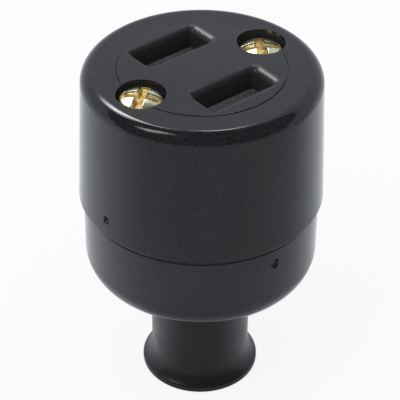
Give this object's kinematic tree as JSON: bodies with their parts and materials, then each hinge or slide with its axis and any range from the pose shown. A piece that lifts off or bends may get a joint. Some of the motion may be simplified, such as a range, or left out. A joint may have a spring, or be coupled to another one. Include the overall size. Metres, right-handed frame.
{
  "type": "inline power socket",
  "caption": "Round black inline power socket for a plug with flat parallel blades: stepped moulded body, screwed socket face and a flared cord sleeve.",
  "frame": {"origin": "centre of the flared lip's bottom face, which the socket stands on", "axes": "+Z along the body's axis up to the socket face, X across the blade slots, Y through the cover screws"},
  "size_m": [0.0326, 0.0326, 0.0493],
  "materials": {
    "black_thermoset": "moulded black thermoset, satin to semi-gloss",
    "black_sleeve": "soft black vinyl, satin",
    "yellow_zinc": "steel with yellow zinc plating",
    "spring_bronze": "bare spring strip",
    "terminal_brass": "stamped and turned brass",
    "terminal_steel": "nickel-plated steel"
  },
  "bodies": {
    "root": {"socket_cap": "black_thermoset", "cord_cup": "black_thermoset", "cord_bush": "black_sleeve", "cover_screw_front": "yellow_zinc", "cover_screw_back": "yellow_zinc", "cover_insert_front": "terminal_brass", "cover_insert_back": "terminal_brass", "contact_jaw_left": "spring_bronze", "contact_jaw_right": "spring_bronze", "terminal_plate_left": "terminal_brass", "terminal_plate_right": "terminal_brass", "contact_rivet_left": "terminal_brass", "contact_rivet_right": "terminal_brass", "terminal_washer_left": "terminal_steel", "terminal_washer_right": "terminal_steel", "terminal_screw_left": "terminal_steel", "terminal_screw_right": "terminal_steel"}
  },
  "joints": []
}
